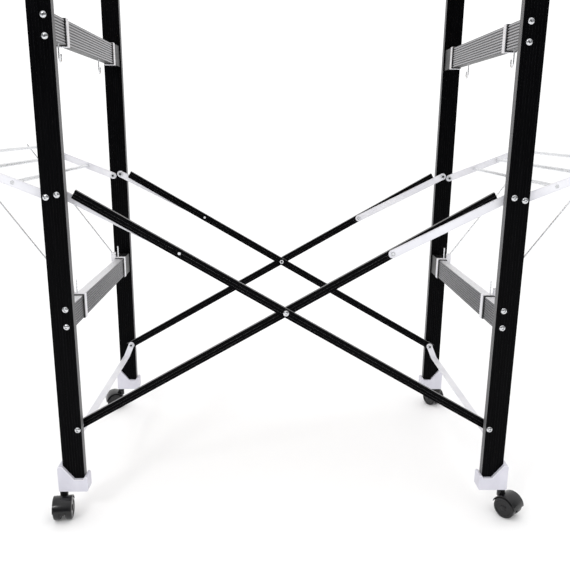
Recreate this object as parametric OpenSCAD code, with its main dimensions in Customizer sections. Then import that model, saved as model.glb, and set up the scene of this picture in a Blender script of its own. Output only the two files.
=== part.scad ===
// Folding wheeled work scaffold: two upright end frames on castors, joined by two
// pairs of scissor braces, with a fold-out side rack at each end and a hinged deck.
// Frame: origin at the centre of the footprint on the floor, +X to the right end,
// +Y to the rear, +Z up. Millimetres.
// "Out" distances (out_...) are measured along X from the middle plane, and levels
// are measured from a leg's inner face towards the middle of the scaffold.

/* [Overall] */
// Width over the outer edges of the legs
frame_w = 940; // [800:1:1150]
// Depth over the outer faces of the legs
frame_d = 566; // [460:1:720]
// Height of the tops of the legs
frame_h = 1255; // [1255:1:1550]

/* [Legs and feet] */
// Width of the leg extrusion, along X
leg_w = 45; // [40:1:54]
// Thickness of the leg extrusion, along Y
leg_t = 16; // [14:1:20]
// Wall of the leg extrusion
leg_wall = 2; // [1.6:0.1:2.4]
// Number of flutes down each broad face of a leg
leg_flutes = 7; // [5:1:9]
// Depth of a flute, shared by the legs, rails and braces
flute_depth = 0.8; // [0.4:0.1:1]
// Height of the underside of a foot boot
boot_z = 60; // [58:1:74]
// Height of a boot's front wall
boot_h = 28; // [24:1:36]
// Height of the boot's ear above its front wall
ear_h = 30; // [20:1:45]
// Thickness of the boot's front and rear walls
boot_wall = 6.8; // [5:0.1:9]
// How far a boot reaches past the leg on the inner side
boot_in = 7; // [6:1:12]
// How far a boot reaches past the leg on the outer side
boot_out = 10; // [10:1:16]

/* [Rails] */
// Height of a cross rail
rail_h = 48; // [44:1:58]
// Thickness of a cross rail
rail_t = 20; // [16:1:24]
// Wall of a cross rail
rail_wall = 1.8; // [1.4:0.1:2.4]
// Number of flutes along each broad face of a rail
rail_flutes = 8; // [6:1:10]
// Distance from a leg's inner edge to the rail's inner face
rail_set = 5; // [2:1:8]
// Height of the lower rail's centre
lower_rail_z = 442; // [400:1:520]
// Height of the upper rail's centre
upper_rail_z = 991; // [940:1:1060]
// Distance from the front legs to the front rail clips
front_clip_set = 86; // [60:1:110]
// Distance from the rear legs to the rear rail clips
rear_clip_set = 63; // [40:1:110]
// Length of a rail clip along the rail
clip_l = 14; // [12:1:20]

/* [Scissor braces] */
// Height of the lower brace pivots
pivot_z = 199; // [180:1:240]
// Distance from a leg's inner edge to the lower brace pivot
pivot_set = 8; // [6:1:12]
// Slope of the braces when the scaffold is open, in degrees
open_angle = 30; // [26:1:32]
// Slope of the braces when the scaffold is folded, in degrees
folded_angle = 83.5; // [80:0.5:84]
// Width of a brace
brace_w = 18; // [15:1:22]
// Thickness of a brace
brace_t = 8; // [6:1:10]
// Distance from the centre bolt to the link pin, along a brace
link_pin = 246; // [220:1:260]
// Distance from the centre bolt to the free end, along a brace
brace_tip = 478; // [460:1:482]
// Width of a link
link_w = 17; // [14:1:20]
// Thickness of a link
link_t = 4; // [3:0.5:5]
// Distance from a leg's inner edge to the link pivot
link_set = 15; // [14:1:16]
// Width of the stretcher strap
strap_w = 17; // [14:1:18]
// Thickness of the stretcher strap
strap_t = 3; // [2:0.5:4]
// Drop of the strap's run below the lower pivots
strap_drop = 38; // [34:1:60]
// How far the strap's tabs lean outwards
strap_lean = 16; // [10:1:18]

/* [Side racks] */
// Distance from a leg's outer edge to the rack pivot
rack_set = 9; // [9:0.5:10]
// Height of the rack pivots
rack_z = 683; // [640:1:720]
// Distance from the rack pivot to the end rod
rack_l = 205; // [190:1:240]
// Rise of an open rack, in degrees
rack_rise = 21.5; // [15:0.5:28]
// Width of a rack arm
arm_w = 17; // [15:1:18]
// Thickness of a rack arm
arm_t = 4; // [3:0.5:5]
// Diameter of a rack rod
rod_d = 8; // [6:1:10]
// Distance from the rack pivot to the first rod
first_rod = 72; // [60:1:90]
// Diameter of a wire stay
stay_d = 4; // [3:0.5:5]
// Slope of a lowered stay below the level, in degrees
stay_down = 84; // [80:1:86]

/* [Castors] */
// Diameter of a castor wheel
wheel_d = 47; // [44:1:50]
// Width of one of the twin wheels
wheel_w = 14.5; // [12:0.5:18]
// Thickness of the castor body between the wheels
web_t = 9; // [8:1:12]
// Distance from the stem to the axle
castor_trail = 19; // [16:1:21]
// Diameter of the castor stem inside the boot
stem_d = 8; // [6:1:8]

/* [Deck] */
// Thickness of the deck board
board_t = 12; // [9:1:15]
// Height of the deck's side rails
deck_rail_h = 24; // [20:1:26]
// Width of the deck's side rails
deck_rail_w = 20; // [16:1:26]
// Number of bearers under the board
bearers = 4; // [3:1:6]

/* [Fixings] */
// Diameter of the pivot bolts and frame bolts
bolt_d = 6; // [5:0.5:6]
// Diameter of a bolt head
head_d = 13; // [11:1:14]
// Height of a bolt head
head_h = 3.4; // [2.5:0.1:4.5]
// Distance between a rail's two bolts
rail_bolt_gap = 36; // [30:1:38]

/* [Hidden] */
$fn = 48;

// Sides and rows
LEFT = -1;
RIGHT = 1;
FRONT = -1;
REAR = 1;

// Clearances
run_fit = 0.08;     // pin or bolt in its hole, on the radius
side_gap = 1;       // between flat pieces that swing past each other
seat_gap = 0.3;     // between a piece and the seat it can lift off

// Legs and feet
out_edge = frame_w / 2;
in_edge = out_edge - leg_w;
in_y = frame_d / 2 - leg_t;
foot_y = frame_d / 2 - leg_t / 2;
foot_base = 21;     // solid bottom of a boot, under the leg
leg_z = boot_z + foot_base;
boot_y = leg_t / 2 + boot_wall;
pocket_gap = 0.15;
lip_h = 6;          // of a boot's inner side above its front wall
cap_h = 1.5;
plug_h = 5;

// Rails
out_rail = in_edge + rail_set;
rail_mid = out_rail + rail_t / 2;
top_rail_z = frame_h - rail_h;
rail_len = 2 * in_y;
clip_wall = 2.5;
clip_gap = 0.15;
clip_out = rail_t / 2 + clip_gap + clip_wall;
clip_top = rail_h / 2 + clip_gap + clip_wall;
front_clip_y = -in_y + front_clip_set;
rear_clip_y = in_y - rear_clip_set;
clip_ys = [front_clip_y, rear_clip_y];
collar_l = 5;
wire_d = 3;         // hooks and posts
post_h = 30;

// Brace mechanism: half the length between a brace's pivots follows from the width
out_pivot = in_edge + pivot_set;
half_brace = out_pivot / cos(open_angle);
centre_z = pivot_z + half_brace * sin(open_angle);
out_link = in_edge + link_set;
end_past = 11;

// Link pin seen from the lower pivot of the end frame that its link hangs on
function pin_at(angle) = [
    -(half_brace - link_pin) * cos(angle),
    (half_brace + link_pin) * sin(angle)
];
open_pin = pin_at(open_angle);
folded_pin = pin_at(folded_angle);
pin_move = folded_pin - open_pin;
link_dx = link_set - pivot_set;
// The link pivot is level with both pin places at one and the same distance
link_dz = ((folded_pin * folded_pin - open_pin * open_pin) / 2
           - pin_move[0] * link_dx) / pin_move[1];
link_z = pivot_z + link_dz;
link_vec = [open_pin[0] - link_dx, open_pin[1] - link_dz];
link_len = norm(link_vec);
link_angle = atan2(link_vec[1], link_vec[0]);
out_pin = link_pin * cos(open_angle);
pin_z = centre_z + link_pin * sin(open_angle);

// Levels of the flat pieces, from the leg's inner face
near_level = side_gap;
far_level = near_level + brace_t + side_gap;
near_link = near_level + brace_t - link_t;
far_link = far_level;
nut_h = 4;
rivet_head_h = 2;
rivet_tail_h = 0.8;

// Racks and stays
out_rack = out_edge - rack_set;
rod_pitch = (rack_l - first_rod) / 2;
rod_r = rod_d / 2;
rack_end = [out_rack + rack_l * cos(rack_rise), rack_z + rack_l * sin(rack_rise)];
stay_pin_d = 4;
out_stay = rail_mid + clip_out + 5.5;
stay_z = lower_rail_z + rail_h / 2 + 11;
ear_t = 3;
ear_edge = 4.5;     // from the stay's pin to the edges of the clip's ears
ear_low = lower_rail_z + rail_h / 2 - 8;
eye_r = stay_pin_d / 2 + run_fit + stay_d / 2;
stay_off = rod_r + stay_d / 2 + seat_gap;
stay_vec = [rack_end[0] - out_stay, rack_end[1] - stay_z];
stay_angle = atan2(stay_vec[1], stay_vec[0]) - asin(stay_off / norm(stay_vec));
stay_len = sqrt(norm(stay_vec) * norm(stay_vec) - stay_off * stay_off) + 14;

// Castors
wheel_r = wheel_d / 2;
wheel_gap = 0.5;
wheel_mid = web_t / 2 + wheel_gap + wheel_w / 2;
hood_w = web_t + 2 * (wheel_gap + wheel_w);
hood_in = wheel_r + 1.5;
hood_out = wheel_r + 3;
axle_d = 6;
out_stem = out_edge + boot_out - stem_d / 2 - 2;
stem_up = foot_base - 2;
neck_d = 12;        // between the boot and the castor's socket
socket_low = 21;    // bottom of the stem's socket, below the boot
socket_h = 14;
// Corners far outside the hood that bound the arc it covers, seen from the axle
hood_arc = [[80, 8], [80, 80], [-80, 80], [-80, 22]];
// Turned angles of the castors at rest: the direction in which each one trails
front_left_turn = -82;
front_right_turn = -50;
rear_left_turn = 200;
rear_right_turn = 120;

// Deck
deck_y = in_y - 3;
weld_gap = 0.1;     // between the deck's welded members
deck_span = 2 * (deck_y - deck_rail_w - weld_gap);
deck_lift = 2;      // from the top rails up to the deck's side rails
deck_low = top_rail_z + rail_h / 2 + deck_lift;
deck_pivot_z = deck_low + deck_rail_h / 2;
hinge_d = 8;
lip_t = 4;
lip_gap = 2;
lip_drop = 18;
deck_end = rail_mid + rail_t / 2 + lip_gap + lip_t;
bearer_w = 30;
first_bearer = 60;  // from the end of the deck's frame to the middle of a bearer
board_inset = 16;

// ---- helpers ---------------------------------------------------------------

// Children are drawn for the right end, and mirrored for the left one
module on_side(side) {
    mirror([side < 0 ? 1 : 0, 0, 0]) children();
}

// A flat piece: its outline lies in X and Z, its thickness starts at a level
module slab(row, level, thick) {
    front_y = row > 0 ? in_y - level : -in_y + level + thick;
    translate([0, front_y, 0]) rotate([90, 0, 0]) linear_extrude(thick) children();
}

// A round piece along Y between two levels of a row
module pin_y(row, out, z, from_level, to_level, r) {
    far_y = row > 0 ? in_y - from_level : -in_y + to_level;
    translate([out, far_y, z]) rotate([90, 0, 0])
        cylinder(h = to_level - from_level, r = r);
}

// A tool that drills through everything along Y
module drill_y(out, z, r) {
    translate([out, 0, z]) rotate([90, 0, 0])
        cylinder(h = 2 * frame_d, r = r, center = true);
}

// Rectangle with shallow flutes on its two long faces, centred, w along X
module fluted(w, t, flutes) {
    pitch = w / (flutes + 1);
    difference() {
        square([w, t], center = true);
        for (i = [1:flutes], s = [-1, 1])
            translate([-w / 2 + i * pitch, s * t / 2])
                square([pitch * 0.45, 2 * flute_depth], center = true);
    }
}

// Straight bar outline with round ends, starting at the origin along +X
module round_bar(length, w) {
    translate([0, -w / 2]) square([length, w]);
    circle(d = w);
    translate([length, 0]) circle(d = w);
}

// Bolt head: a low button on the outer face of a row, its axis along Y
module button(row, out, z, level) {
    y = row > 0 ? in_y - level : -in_y + level;
    translate([out, y, z]) rotate([row > 0 ? -90 : 90, 0, 0]) {
        cylinder(h = head_h * 0.4, d = head_d);
        translate([0, 0, head_h * 0.4])
            cylinder(h = head_h * 0.6, d1 = head_d, d2 = head_d * 0.6);
    }
}

// Hexagonal nut that closes a bolt at a level
module nut(row, out, z, level) {
    y = row > 0 ? in_y - level : -in_y + level + nut_h;
    translate([out, y, z]) rotate([90, 0, 0])
        cylinder(h = nut_h, d = bolt_d * 1.9, $fn = 6);
}

// Bolt with its head on the leg's outer face and its nut at a level
module pivot_bolt(row, out, z, nut_level) {
    button(row, out, z, -leg_t);
    pin_y(row, out, z, -leg_t, nut_level + nut_h, bolt_d / 2);
    nut(row, out, z, nut_level);
}

// Tube around a bolt between two levels
module spacer(row, out, z, from_level, to_level) {
    difference() {
        pin_y(row, out, z, from_level, to_level, bolt_d / 2 + 2.5);
        drill_y(out, z, bolt_d / 2 + run_fit);
    }
}

// ---- legs, caps and feet ---------------------------------------------------

module leg(side, row) {
    color("#17181b") on_side(side) difference() {
        translate([out_edge - leg_w / 2, row * foot_y, leg_z])
            linear_extrude(frame_h - leg_z) difference() {
                fluted(leg_w, leg_t, leg_flutes);
                square([leg_w - 2 * leg_wall, leg_t - 2 * leg_wall], center = true);
            }
        drill_y(out_pivot, pivot_z, bolt_d / 2 + run_fit);
        drill_y(out_link, link_z, bolt_d / 2 + run_fit);
        drill_y(out_rack, rack_z, bolt_d / 2 + run_fit);
        for (z = [lower_rail_z, upper_rail_z, top_rail_z], s = [-1, 1])
            drill_y(rail_mid, z + s * rail_bolt_gap / 2, bolt_d / 2 + run_fit);
        if (side == LEFT)
            drill_y(rail_mid, deck_pivot_z, hinge_d / 2 + run_fit);
    }
}

module leg_caps(side) {
    color("#1d1e20") on_side(side) for (row = [FRONT, REAR])
        translate([out_edge - leg_w / 2, row * foot_y, 0]) {
            translate([0, 0, frame_h + cap_h / 2])
                cube([leg_w, leg_t, cap_h], center = true);
            translate([0, 0, frame_h - plug_h / 2])
                cube([leg_w - 2 * leg_wall - 1, leg_t - 2 * leg_wall - 1, plug_h], center = true);
        }
}

// Outline of a boot in X and Z, with the ear on the outer side
module boot_outline() {
    in_x = in_edge - boot_in;
    out_x = out_edge + boot_out;
    wall_z = boot_z + boot_h;
    polygon([
        [in_x + 2, boot_z], [out_x - 2, boot_z], [out_x, boot_z + 2],
        [out_x, wall_z + ear_h - 3], [out_x - 3, wall_z + ear_h],
        [out_edge, wall_z + ear_h], [out_edge - 24, wall_z],
        [in_edge + 2, wall_z], [in_edge - 1, wall_z + lip_h],
        [in_x + 2, wall_z + lip_h], [in_x, wall_z + lip_h - 3], [in_x, boot_z + 3]
    ]);
}

module feet(side) {
    color("#dcdbe4") on_side(side) for (row = [FRONT, REAR]) difference() {
        translate([0, row * foot_y + boot_y, 0]) rotate([90, 0, 0])
            linear_extrude(2 * boot_y) boot_outline();
        translate([out_edge - leg_w - pocket_gap, row * foot_y - leg_t / 2 - pocket_gap, leg_z])
            cube([leg_w + 2 * pocket_gap, leg_t + 2 * pocket_gap, 200]);
        translate([out_stem, row * foot_y, boot_z - 1])
            cylinder(h = stem_up + 2, d = stem_d + 2 * run_fit);
    }
}

// ---- rails, clips and hooks ------------------------------------------------

// Rail section in X and Z: fluted faces, thin walls and two screw ports
module rail_section() {
    rotate(90) difference() {
        fluted(rail_h, rail_t, rail_flutes);
        difference() {
            square([rail_h - 2 * rail_wall, rail_t - 2 * rail_wall], center = true);
            for (s = [-1, 1])
                translate([s * rail_bolt_gap / 2, 0])
                    square([bolt_d + 3, rail_t], center = true);
        }
        for (s = [-1, 1])
            translate([s * rail_bolt_gap / 2, 0]) circle(d = bolt_d + 2 * run_fit);
    }
}

module rail(side, z) {
    color("#8d8e94") on_side(side)
        translate([rail_mid, in_y, z]) rotate([90, 0, 0])
            linear_extrude(rail_len) rail_section();
}

// Rectangular ring that fits round a rail, in X and Z
module ring_outline(gap, wall) {
    difference() {
        square([rail_t + 2 * (gap + wall), rail_h + 2 * (gap + wall)], center = true);
        square([rail_t + 2 * gap, rail_h + 2 * gap], center = true);
    }
}

module rail_clips(side) {
    color("#e6e6ea") on_side(side) {
        for (y = clip_ys, z = [lower_rail_z, upper_rail_z])
            translate([rail_mid, y + clip_l / 2, z]) rotate([90, 0, 0])
                linear_extrude(clip_l) ring_outline(clip_gap, clip_wall);
        // Ears that hold the stay's pin, on the outer side of the lower clips
        for (y = clip_ys, s = [-1, 1]) difference() {
            translate([rail_mid + clip_out, y + s * (clip_l - ear_t) / 2 - ear_t / 2, ear_low])
                cube([out_stay + ear_edge - rail_mid - clip_out, ear_t,
                      stay_z + ear_edge - ear_low]);
            drill_y(out_stay, stay_z, stay_pin_d / 2 + run_fit);
        }
    }
}

// Black collars in front of the clips, and sleeves from the rear clips to the legs
module clip_collars(side) {
    sleeve_l = rear_clip_set - clip_l / 2 - seat_gap;
    color("#1b1b1d") on_side(side) for (z = [lower_rail_z, upper_rail_z]) {
        for (y = clip_ys)
            translate([rail_mid, y - clip_l / 2, z]) rotate([90, 0, 0])
                linear_extrude(collar_l) ring_outline(clip_gap, clip_wall - 1);
        translate([rail_mid, in_y - seat_gap, z]) rotate([90, 0, 0])
            linear_extrude(sleeve_l) ring_outline(clip_gap, clip_wall - 1);
    }
}

// Hanging hook of round wire: a stem, a half turn and an upturned tip
module wire_hook(d, drop, bend_r) {
    translate([0, 0, -drop]) cylinder(h = drop, d = d);
    translate([0, bend_r, -drop]) rotate([0, 90, 0]) rotate([0, 0, -90])
        rotate_extrude(angle = 180) translate([bend_r, 0]) circle(d = d);
    translate([0, 2 * bend_r, -drop]) cylinder(h = 8, d = d);
}

module wire_hooks(side) {
    hook_y = [front_clip_y - (front_clip_set + clip_l / 2) / 2, in_y * 0.25];
    color("#b9babf") on_side(side) {
        for (y = hook_y)
            translate([out_rail + 4, y, upper_rail_z - rail_h / 2])
                wire_hook(wire_d, 26, 7);
        for (y = clip_ys)
            translate([rail_mid + rail_t / 4, y, lower_rail_z + clip_top])
                cylinder(h = post_h, d = wire_d);
    }
}

// ---- stretcher strap -------------------------------------------------------

// Level of the strap's tab, clear of the brace that shares its bolt
function tab_level(side, row) = side * row > 0 ? far_level + brace_t + side_gap : far_level;

module tab_outline() {
    bottom = pivot_z - strap_drop;
    half = strap_w / 2;
    polygon([
        [out_pivot - half, pivot_z], [out_pivot - half + strap_lean, bottom],
        [out_pivot + half + strap_lean, bottom], [out_pivot + half, pivot_z]
    ]);
    translate([out_pivot, pivot_z]) circle(d = strap_w);
}

module strap(side) {
    front_y = -in_y + tab_level(side, FRONT);
    rear_y = in_y - tab_level(side, REAR);
    color("#ececee") on_side(side) difference() {
        union() {
            for (row = [FRONT, REAR])
                slab(row, tab_level(side, row), strap_t) tab_outline();
            translate([out_pivot + strap_lean - strap_w / 2, front_y, pivot_z - strap_drop])
                cube([strap_w, rear_y - front_y, strap_t]);
        }
        drill_y(out_pivot, pivot_z, bolt_d / 2 + run_fit);
    }
}

// ---- fixings ---------------------------------------------------------------

module frame_bolts(side) {
    color("#b5b7bb") on_side(side)
        for (row = [FRONT, REAR], z = [lower_rail_z, upper_rail_z, top_rail_z], s = [-1, 1]) {
            button(row, rail_mid, z + s * rail_bolt_gap / 2, -leg_t);
            pin_y(row, rail_mid, z + s * rail_bolt_gap / 2, -leg_t, 25, bolt_d / 2);
        }
}

// Level at which a link starts: beside the brace that it swings with
function link_level(side, row) = side * row < 0 ? near_link : far_link;

module pivot_bolts(side) {
    color("#b5b7bb") on_side(side) {
        for (row = [FRONT, REAR]) {
            pivot_bolt(row, out_pivot, pivot_z, tab_level(side, row) + strap_t);
            pivot_bolt(row, out_link, link_z, link_level(side, row) + link_t);
            pivot_bolt(row, out_rack, rack_z, seat_gap + arm_t + 0.2);
        }
        for (y = clip_ys)
            translate([out_stay, y, stay_z]) rotate([90, 0, 0])
                cylinder(h = clip_l + 1, d = stay_pin_d, center = true);
    }
}

// Level at which the brace on a lower pivot starts
function brace_level(side, row) = side * row > 0 ? far_level : near_level;

module spacers(side) {
    color("#e2e2e4") on_side(side) for (row = [FRONT, REAR]) {
        spacer(row, out_pivot, pivot_z, 0, brace_level(side, row) - 0.2);
        spacer(row, out_link, link_z, 0, link_level(side, row) - 0.2);
    }
}

// ---- braces, links and their rivets ----------------------------------------

// A brace rising from the lower pivot on one side, over the middle
module brace(side, row) {
    level = brace_level(side, row);
    length = half_brace + brace_tip + end_past;
    mid_y = row > 0 ? in_y - level - brace_t / 2 : -in_y + level + brace_t / 2;
    color("#131416") on_side(side) difference() {
        translate([out_pivot, mid_y, pivot_z]) rotate([0, open_angle - 180, 0])
            translate([-end_past, 0, 0]) rotate([90, 0, 90])
                linear_extrude(length) rotate(90) fluted(brace_w, brace_t, 2);
        drill_y(out_pivot, pivot_z, bolt_d / 2 + run_fit);
        drill_y(0, centre_z, bolt_d / 2 + run_fit);
        drill_y(-out_pin, pin_z, bolt_d / 2 + run_fit);
    }
}

module centre_bolts() {
    color("#b5b7bb") for (row = [FRONT, REAR]) {
        back = far_level + brace_t;
        pin_y(row, 0, centre_z, near_level - 0.4, back + 0.4, bolt_d / 2);
        button(row, 0, centre_z, near_level - 0.2);
        nut(row, 0, centre_z, back + 0.2);
    }
}

// Rivet set flush in a brace, with its tail on the side away from the link
module brace_rivets(side) {
    color("#9a9ca1") on_side(side) for (row = [FRONT, REAR]) {
        level = brace_level(side, row);
        tail = side * row > 0 ? rivet_tail_h : 0;
        pin_y(row, -out_pin, pin_z, level + tail - rivet_tail_h, level + tail + brace_t, bolt_d / 2);
    }
}

module link_outline() {
    difference() {
        translate([out_link, link_z]) rotate(link_angle) round_bar(link_len, link_w);
        translate([out_link, link_z]) circle(d = bolt_d + 2 * run_fit);
        translate([out_pin, pin_z]) circle(d = bolt_d + 2 * run_fit);
    }
}

// Links are pressed from strip: raised edges round a shallow channel
module links(side) {
    color("#ececee") on_side(side) for (row = [FRONT, REAR])
        slab(row, link_level(side, row), link_t) link_outline();
}

module link_rivets(side) {
    color("#b5b7bb") on_side(side) for (row = [FRONT, REAR]) {
        level = link_level(side, row);
        head_level = side * row < 0 ? level - rivet_head_h : level + link_t;
        pin_y(row, out_pin, pin_z, level, level + link_t, bolt_d / 2);
        pin_y(row, out_pin, pin_z, head_level, head_level + rivet_head_h, bolt_d * 0.75);
    }
}

// ---- side racks and stays --------------------------------------------------

module rack_arms(side) {
    color("#ececee") on_side(side) for (row = [FRONT, REAR])
        slab(row, seat_gap, arm_t) translate([out_rack, rack_z]) rotate(rack_rise)
            difference() {
                round_bar(rack_l, arm_w);
                circle(d = bolt_d + 2 * run_fit);
                for (i = [0:2])
                    translate([first_rod + i * rod_pitch, 0]) circle(d = rod_d + 2 * run_fit);
            }
}

module rack_rods(side) {
    color("#d9dade") on_side(side) for (i = [0:2]) {
        along = first_rod + i * rod_pitch;
        translate([out_rack + along * cos(rack_rise), 0, rack_z + along * sin(rack_rise)])
            rotate([90, 0, 0]) cylinder(h = 2 * (in_y - 0.8), d = rod_d, center = true);
    }
}

// Wire stay: an eye round the clip's pin and a straight rod up to the end rod
module stays(side) {
    color("#b9babf") on_side(side) for (y = clip_ys)
        translate([out_stay, y, stay_z]) {
            rotate([90, 0, 0]) rotate_extrude()
                translate([eye_r, 0]) circle(d = stay_d);
            rotate([0, 90 - stay_angle, 0])
                translate([0, 0, eye_r]) cylinder(h = stay_len - eye_r, d = stay_d);
        }
}

// ---- castors ---------------------------------------------------------------

// Moves a castor drawn at the origin, trailing along +X, to its corner
module at_corner(side, row, turn) {
    translate([side * out_stem, row * foot_y, 0]) rotate([0, 0, turn]) children();
}

module castor_body(side, row, turn) {
    color("#161617") at_corner(side, row, turn) difference() {
        union() {
            // Hood over both wheels and the web between them
            translate([castor_trail, hood_w / 2, wheel_r]) rotate([90, 0, 0])
                linear_extrude(hood_w) intersection() {
                    difference() {
                        circle(r = hood_out);
                        circle(r = hood_in);
                    }
                    polygon(concat([[0, 0]], hood_arc));
                }
            translate([castor_trail, web_t / 2, wheel_r]) rotate([90, 0, 0])
                linear_extrude(web_t) union() {
                    intersection() {
                        circle(r = hood_in + 0.5);
                        polygon(concat([[0, -8]], hood_arc, [[-14, -8]]));
                    }
                    circle(r = axle_d * 1.5);
                }
            // Socket, neck and stem
            translate([0, 0, boot_z - socket_low]) {
                cylinder(h = socket_h, d = neck_d + 5);
                cylinder(h = socket_low - seat_gap, d = neck_d);
                cylinder(h = socket_low + stem_up, d = stem_d);
            }
        }
        translate([castor_trail, 0, wheel_r]) rotate([90, 0, 0])
            cylinder(h = hood_w * 2, d = axle_d + 2 * run_fit, center = true);
        for (s = [-1, 1])
            translate([castor_trail, s * wheel_mid, wheel_r]) rotate([90, 0, 0])
                cylinder(h = wheel_w + 2 * wheel_gap, r = wheel_r + 1, center = true);
    }
}

module castor_axle(side, row, turn) {
    color("#8f9196") at_corner(side, row, turn)
        translate([castor_trail, 0, wheel_r]) rotate([90, 0, 0])
            cylinder(h = hood_w - 4, d = axle_d, center = true);
}

// Half section of a wheel: tread with eased edges, dished outer face
module wheel_section() {
    half = wheel_w / 2;
    bore = axle_d / 2 + run_fit;
    polygon([
        [bore, -half], [wheel_r - 3, -half], [wheel_r - 0.8, -half + 1.2], [wheel_r, -half + 3],
        [wheel_r, half - 3], [wheel_r - 0.8, half - 1.2], [wheel_r - 3, half],
        [wheel_r - 6, half], [wheel_r - 7, half - 1.2], [bore + 4, half - 1.2],
        [bore + 3, half], [bore, half]
    ]);
}

module castor_wheels(side, row, turn) {
    color("#1c1c1e") at_corner(side, row, turn)
        for (s = [-1, 1])
            translate([castor_trail, s * wheel_mid, wheel_r]) rotate([s > 0 ? -90 : 90, 0, 0])
                rotate_extrude() wheel_section();
}

// ---- deck ------------------------------------------------------------------

// Box that runs from one side rail to the other
module cross_piece(from_x, w, from_z, h) {
    translate([from_x, -deck_span / 2, from_z]) cube([w, deck_span, h]);
}

module deck_frame() {
    bearer_h = deck_rail_h - board_t;
    pitch = 2 * (rail_mid - first_bearer) / (bearers - 1);
    rest_x = rail_mid - rail_t / 2;
    lip_x = rail_mid + rail_t / 2 + lip_gap;
    color("#a2a4a9") {
        // Side rails, round at the hinge end
        for (row = [FRONT, REAR]) difference() {
            translate([0, row > 0 ? deck_y : -deck_y + deck_rail_w, 0]) rotate([90, 0, 0])
                linear_extrude(deck_rail_w) union() {
                    translate([-rail_mid, deck_low]) square([rail_mid + deck_end, deck_rail_h]);
                    translate([-rail_mid, deck_pivot_z]) circle(d = deck_rail_h);
                }
            drill_y(-rail_mid, deck_pivot_z, hinge_d / 2 + run_fit);
        }
        // Bearers between the side rails
        for (i = [0:bearers - 1])
            cross_piece(-rail_mid + first_bearer + i * pitch - bearer_w / 2, bearer_w,
                        deck_low, bearer_h);
        // Rest plate and lip at the free end
        cross_piece(rest_x, rail_t, deck_low - deck_lift + seat_gap, deck_lift - seat_gap);
        cross_piece(lip_x, lip_t, deck_low - lip_drop, lip_drop + bearer_h);
    }
}

module deck_board() {
    from_x = -rail_mid + board_inset;
    color("#c79a63")
        cross_piece(from_x, deck_end - from_x, deck_low + deck_rail_h - board_t, board_t);
}

module deck_hinge_pin() {
    color("#b5b7bb") translate([-rail_mid, 0, deck_pivot_z]) rotate([90, 0, 0])
        cylinder(h = frame_d - 1, d = hinge_d, center = true);
}

// ---- the nodes -------------------------------------------------------------

leg(LEFT, FRONT);  // front_left_leg
leg(LEFT, REAR);  // rear_left_leg
leg_caps(LEFT);  // left_leg_caps
feet(LEFT);  // left_feet
rail(LEFT, lower_rail_z);  // left_lower_rail
rail(LEFT, upper_rail_z);  // left_upper_rail
rail(LEFT, top_rail_z);  // left_top_rail
rail_clips(LEFT);  // left_rail_clips
clip_collars(LEFT);  // left_clip_collars
wire_hooks(LEFT);  // left_wire_hooks
strap(LEFT);  // left_strap
frame_bolts(LEFT);  // left_frame_bolts
pivot_bolts(LEFT);  // left_pivot_bolts
spacers(LEFT);  // left_spacers
leg(RIGHT, FRONT);  // front_right_leg
leg(RIGHT, REAR);  // rear_right_leg
leg_caps(RIGHT);  // right_leg_caps
feet(RIGHT);  // right_feet
rail(RIGHT, lower_rail_z);  // right_lower_rail
rail(RIGHT, upper_rail_z);  // right_upper_rail
rail(RIGHT, top_rail_z);  // right_top_rail
rail_clips(RIGHT);  // right_rail_clips
clip_collars(RIGHT);  // right_clip_collars
wire_hooks(RIGHT);  // right_wire_hooks
strap(RIGHT);  // right_strap
frame_bolts(RIGHT);  // right_frame_bolts
pivot_bolts(RIGHT);  // right_pivot_bolts
spacers(RIGHT);  // right_spacers
brace(LEFT, FRONT);  // front_brace_a
brace(LEFT, REAR);  // rear_brace_a
brace(RIGHT, FRONT);  // front_brace_b
brace(RIGHT, REAR);  // rear_brace_b
centre_bolts();
brace_rivets(LEFT);  // brace_a_rivets
brace_rivets(RIGHT);  // brace_b_rivets
links(LEFT);  // left_links
links(RIGHT);  // right_links
link_rivets(LEFT);  // left_link_rivets
link_rivets(RIGHT);  // right_link_rivets
rack_arms(LEFT);  // left_rack_arms
rack_rods(LEFT);  // left_rack_rods
stays(LEFT);  // left_stays
rack_arms(RIGHT);  // right_rack_arms
rack_rods(RIGHT);  // right_rack_rods
stays(RIGHT);  // right_stays
castor_body(LEFT, FRONT, front_left_turn);  // front_left_castor_body
castor_axle(LEFT, FRONT, front_left_turn);  // front_left_axle
castor_wheels(LEFT, FRONT, front_left_turn);  // front_left_wheels
castor_body(LEFT, REAR, rear_left_turn);  // rear_left_castor_body
castor_axle(LEFT, REAR, rear_left_turn);  // rear_left_axle
castor_wheels(LEFT, REAR, rear_left_turn);  // rear_left_wheels
castor_body(RIGHT, FRONT, front_right_turn);  // front_right_castor_body
castor_axle(RIGHT, FRONT, front_right_turn);  // front_right_axle
castor_wheels(RIGHT, FRONT, front_right_turn);  // front_right_wheels
castor_body(RIGHT, REAR, rear_right_turn);  // rear_right_castor_body
castor_axle(RIGHT, REAR, rear_right_turn);  // rear_right_axle
castor_wheels(RIGHT, REAR, rear_right_turn);  // rear_right_wheels
deck_board();
deck_frame();
deck_hinge_pin();
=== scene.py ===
# %% [markdown]
# # A folding wheeled scaffold
# Two upright end frames stand on castors, and two pairs of scissor braces hold them
# apart. The solids already come at their real size and place. This lesson gives each
# of them its finish, and builds the small things that a maker would notice: domed
# bolts with sockets, rivets with rolled rims, beads round the boots and edges that
# are eased as a die or a mould leaves them.

# %% Load the fixed frame
import math

import bmesh
import bpy
from mathutils import Matrix, Vector


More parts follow.
